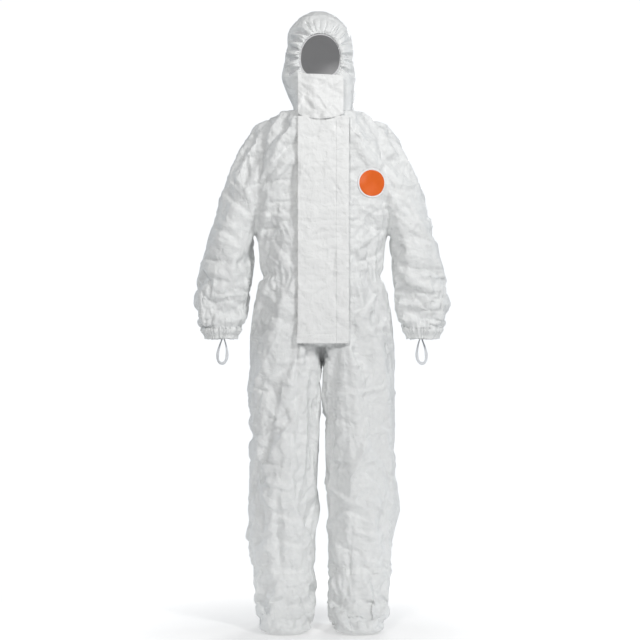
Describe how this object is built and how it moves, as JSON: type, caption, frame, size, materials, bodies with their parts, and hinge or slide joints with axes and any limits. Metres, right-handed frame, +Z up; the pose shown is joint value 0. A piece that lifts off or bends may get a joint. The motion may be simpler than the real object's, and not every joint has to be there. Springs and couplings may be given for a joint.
{
  "type": "chemical protective suit",
  "caption": "White hooded one-piece protective suit with attached socks, elasticated cuffs with thumb loops, and a front zip under a double storm flap.",
  "frame": {"origin": "on the floor, at the centre of the bounding box of the standing suit", "axes": "+Z up from the soles to the crown of the hood, -Y out of the suit's front, +X towards the wearer's left"},
  "size_m": [0.768, 0.32, 1.854],
  "materials": {
    "suit_fabric": "satin",
    "seam_tape": "satin",
    "elastic": "matte",
    "loop_elastic": "matte",
    "zip_cloth": "matte",
    "zip_plastic": "satin",
    "zip_metal": "satin",
    "release_paper": "satin",
    "badge_orange": "satin",
    "badge_white": "satin",
    "label_cloth": "matte"
  },
  "bodies": {
    "torso": {"front_panel_left": "suit_fabric", "front_panel_right": "suit_fabric", "back_panel": "suit_fabric", "waist_elastic": "elastic", "crotch_gusset": "suit_fabric", "size_label": "label_cloth", "chest_badge": "badge_orange", "badge_border": "badge_white", "zip_tape_left": "zip_cloth", "zip_tape_right": "zip_cloth", "zip_teeth_left": "zip_plastic", "zip_teeth_right": "zip_plastic", "zip_stops": "zip_plastic", "flap_seam_tape": "seam_tape", "neck_section": "suit_fabric", "shoulder_cap_left": "suit_fabric", "hip_section_left": "suit_fabric", "shoulder_cap_right": "suit_fabric", "hip_section_right": "suit_fabric"},
    "zip_slider": {"zip_slider": "zip_metal"},
    "zip_pull": {"zip_pull": "zip_metal"},
    "outer_flap": {"outer_storm_flap": "suit_fabric", "outer_flap_adhesive_tape": "release_paper"},
    "inner_flap": {"inner_storm_flap": "suit_fabric", "inner_flap_adhesive_tape": "release_paper"},
    "hood": {"hood_centre_strip": "suit_fabric", "hood_side_left": "suit_fabric", "hood_side_right": "suit_fabric", "face_elastic": "elastic"},
    "chin_flap": {"chin_flap": "suit_fabric", "chin_flap_adhesive_tape": "release_paper"},
    "upper_arm_left": {"upper_sleeve_left": "suit_fabric", "elbow_section_left": "suit_fabric"},
    "forearm_left": {"lower_sleeve_left": "suit_fabric", "outer_cuff_left": "suit_fabric", "wrist_elastic_left": "elastic", "inner_cuff_left": "suit_fabric"},
    "thumb_loop_left": {"thumb_loop_left": "loop_elastic"},
    "thigh_left": {"thigh_left": "suit_fabric", "knee_section_left": "suit_fabric"},
    "shin_left": {"shin_left": "suit_fabric", "ankle_elastic_left": "elastic", "sock_ankle_left": "suit_fabric"},
    "foot_left": {"sock_foot_left": "suit_fabric"},
    "upper_arm_right": {"upper_sleeve_right": "suit_fabric", "elbow_section_right": "suit_fabric"},
    "forearm_right": {"lower_sleeve_right": "suit_fabric", "outer_cuff_right": "suit_fabric", "wrist_elastic_right": "elastic", "inner_cuff_right": "suit_fabric"},
    "thumb_loop_right": {"thumb_loop_right": "loop_elastic"},
    "thigh_right": {"thigh_right": "suit_fabric", "knee_section_right": "suit_fabric"},
    "shin_right": {"shin_right": "suit_fabric", "ankle_elastic_right": "elastic", "sock_ankle_right": "suit_fabric"},
    "foot_right": {"sock_foot_right": "suit_fabric"}
  },
  "joints": [
    {"name": "zip_slide", "type": "slide", "parent": "torso", "child": "zip_slider", "axis": [0, 0, 1], "range_m": [-0.61, 0]},
    {"name": "zip_pull_swing", "type": "hinge", "parent": "zip_slider", "child": "zip_pull", "pos_m": [0, -0.114, 1.494], "axis": [0, 1, 0], "range_deg": [-80, 80]},
    {"name": "outer_flap_open", "type": "hinge", "parent": "torso", "child": "outer_flap", "pos_m": [0.084, -0.1191, 1.19], "axis": [0, 0, 1], "range_deg": [0, 120]},
    {"name": "inner_flap_open", "type": "hinge", "parent": "torso", "child": "inner_flap", "pos_m": [0.062, -0.1167, 1.19], "axis": [0, 0, 1], "range_deg": [0, 110]},
    {"name": "hood_fold", "type": "hinge", "parent": "torso", "child": "hood", "pos_m": [0, 0.118, 1.59], "axis": [-1, 0, 0], "range_deg": [0, 80], "deforming": ["neck_section"]},
    {"name": "chin_flap_open", "type": "hinge", "parent": "hood", "child": "chin_flap", "pos_m": [0.0645, -0.109, 1.597], "axis": [0, 0, 1], "range_deg": [0, 110]},
    {"name": "shoulder_raise_left", "type": "hinge", "parent": "torso", "child": "upper_arm_left", "pos_m": [0.188, 0.015, 1.432], "axis": [0, -1, 0], "range_deg": [0, 80], "deforming": ["shoulder_cap_left"]},
    {"name": "elbow_bend_left", "type": "hinge", "parent": "upper_arm_left", "child": "forearm_left", "pos_m": [0.28, 0.015, 1.12], "axis": [-1, 0, 0], "range_deg": [0, 80], "deforming": ["elbow_section_left"]},
    {"name": "thumb_loop_swing_left", "type": "hinge", "parent": "forearm_left", "child": "thumb_loop_left", "pos_m": [0.298, 0.015, 0.858], "axis": [1, 0, 0], "range_deg": [-60, 60]},
    {"name": "hip_bend_left", "type": "hinge", "parent": "torso", "child": "thigh_left", "pos_m": [0.11, 0.022, 0.852], "axis": [-1, 0, 0], "range_deg": [-15, 45], "deforming": ["hip_section_left"]},
    {"name": "knee_bend_left", "type": "hinge", "parent": "thigh_left", "child": "shin_left", "pos_m": [0.117, 0.014, 0.455], "axis": [1, 0, 0], "range_deg": [0, 90], "deforming": ["knee_section_left"]},
    {"name": "ankle_tilt_left", "type": "hinge", "parent": "shin_left", "child": "foot_left", "pos_m": [0.112, 0.016, 0.137], "axis": [1, 0, 0], "range_deg": [-20, 20], "deforming": ["sock_ankle_left"]},
    {"name": "shoulder_raise_right", "type": "hinge", "parent": "torso", "child": "upper_arm_right", "pos_m": [-0.188, 0.015, 1.432], "axis": [0, 1, 0], "range_deg": [0, 80], "deforming": ["shoulder_cap_right"]},
    {"name": "elbow_bend_right", "type": "hinge", "parent": "upper_arm_right", "child": "forearm_right", "pos_m": [-0.28, 0.015, 1.12], "axis": [-1, 0, 0], "range_deg": [0, 80], "deforming": ["elbow_section_right"]},
    {"name": "thumb_loop_swing_right", "type": "hinge", "parent": "forearm_right", "child": "thumb_loop_right", "pos_m": [-0.298, 0.015, 0.858], "axis": [1, 0, 0], "range_deg": [-60, 60]},
    {"name": "hip_bend_right", "type": "hinge", "parent": "torso", "child": "thigh_right", "pos_m": [-0.11, 0.022, 0.852], "axis": [-1, 0, 0], "range_deg": [-15, 45], "deforming": ["hip_section_right"]},
    {"name": "knee_bend_right", "type": "hinge", "parent": "thigh_right", "child": "shin_right", "pos_m": [-0.117, 0.014, 0.455], "axis": [1, 0, 0], "range_deg": [0, 90], "deforming": ["knee_section_right"]},
    {"name": "ankle_tilt_right", "type": "hinge", "parent": "shin_right", "child": "foot_right", "pos_m": [-0.112, 0.016, 0.137], "axis": [1, 0, 0], "range_deg": [-20, 20], "deforming": ["sock_ankle_right"]}
  ],
  "couplings": [
    {"joint": "inner_flap_open", "follows": "outer_flap_open", "ratio": 0.9}
  ]
}
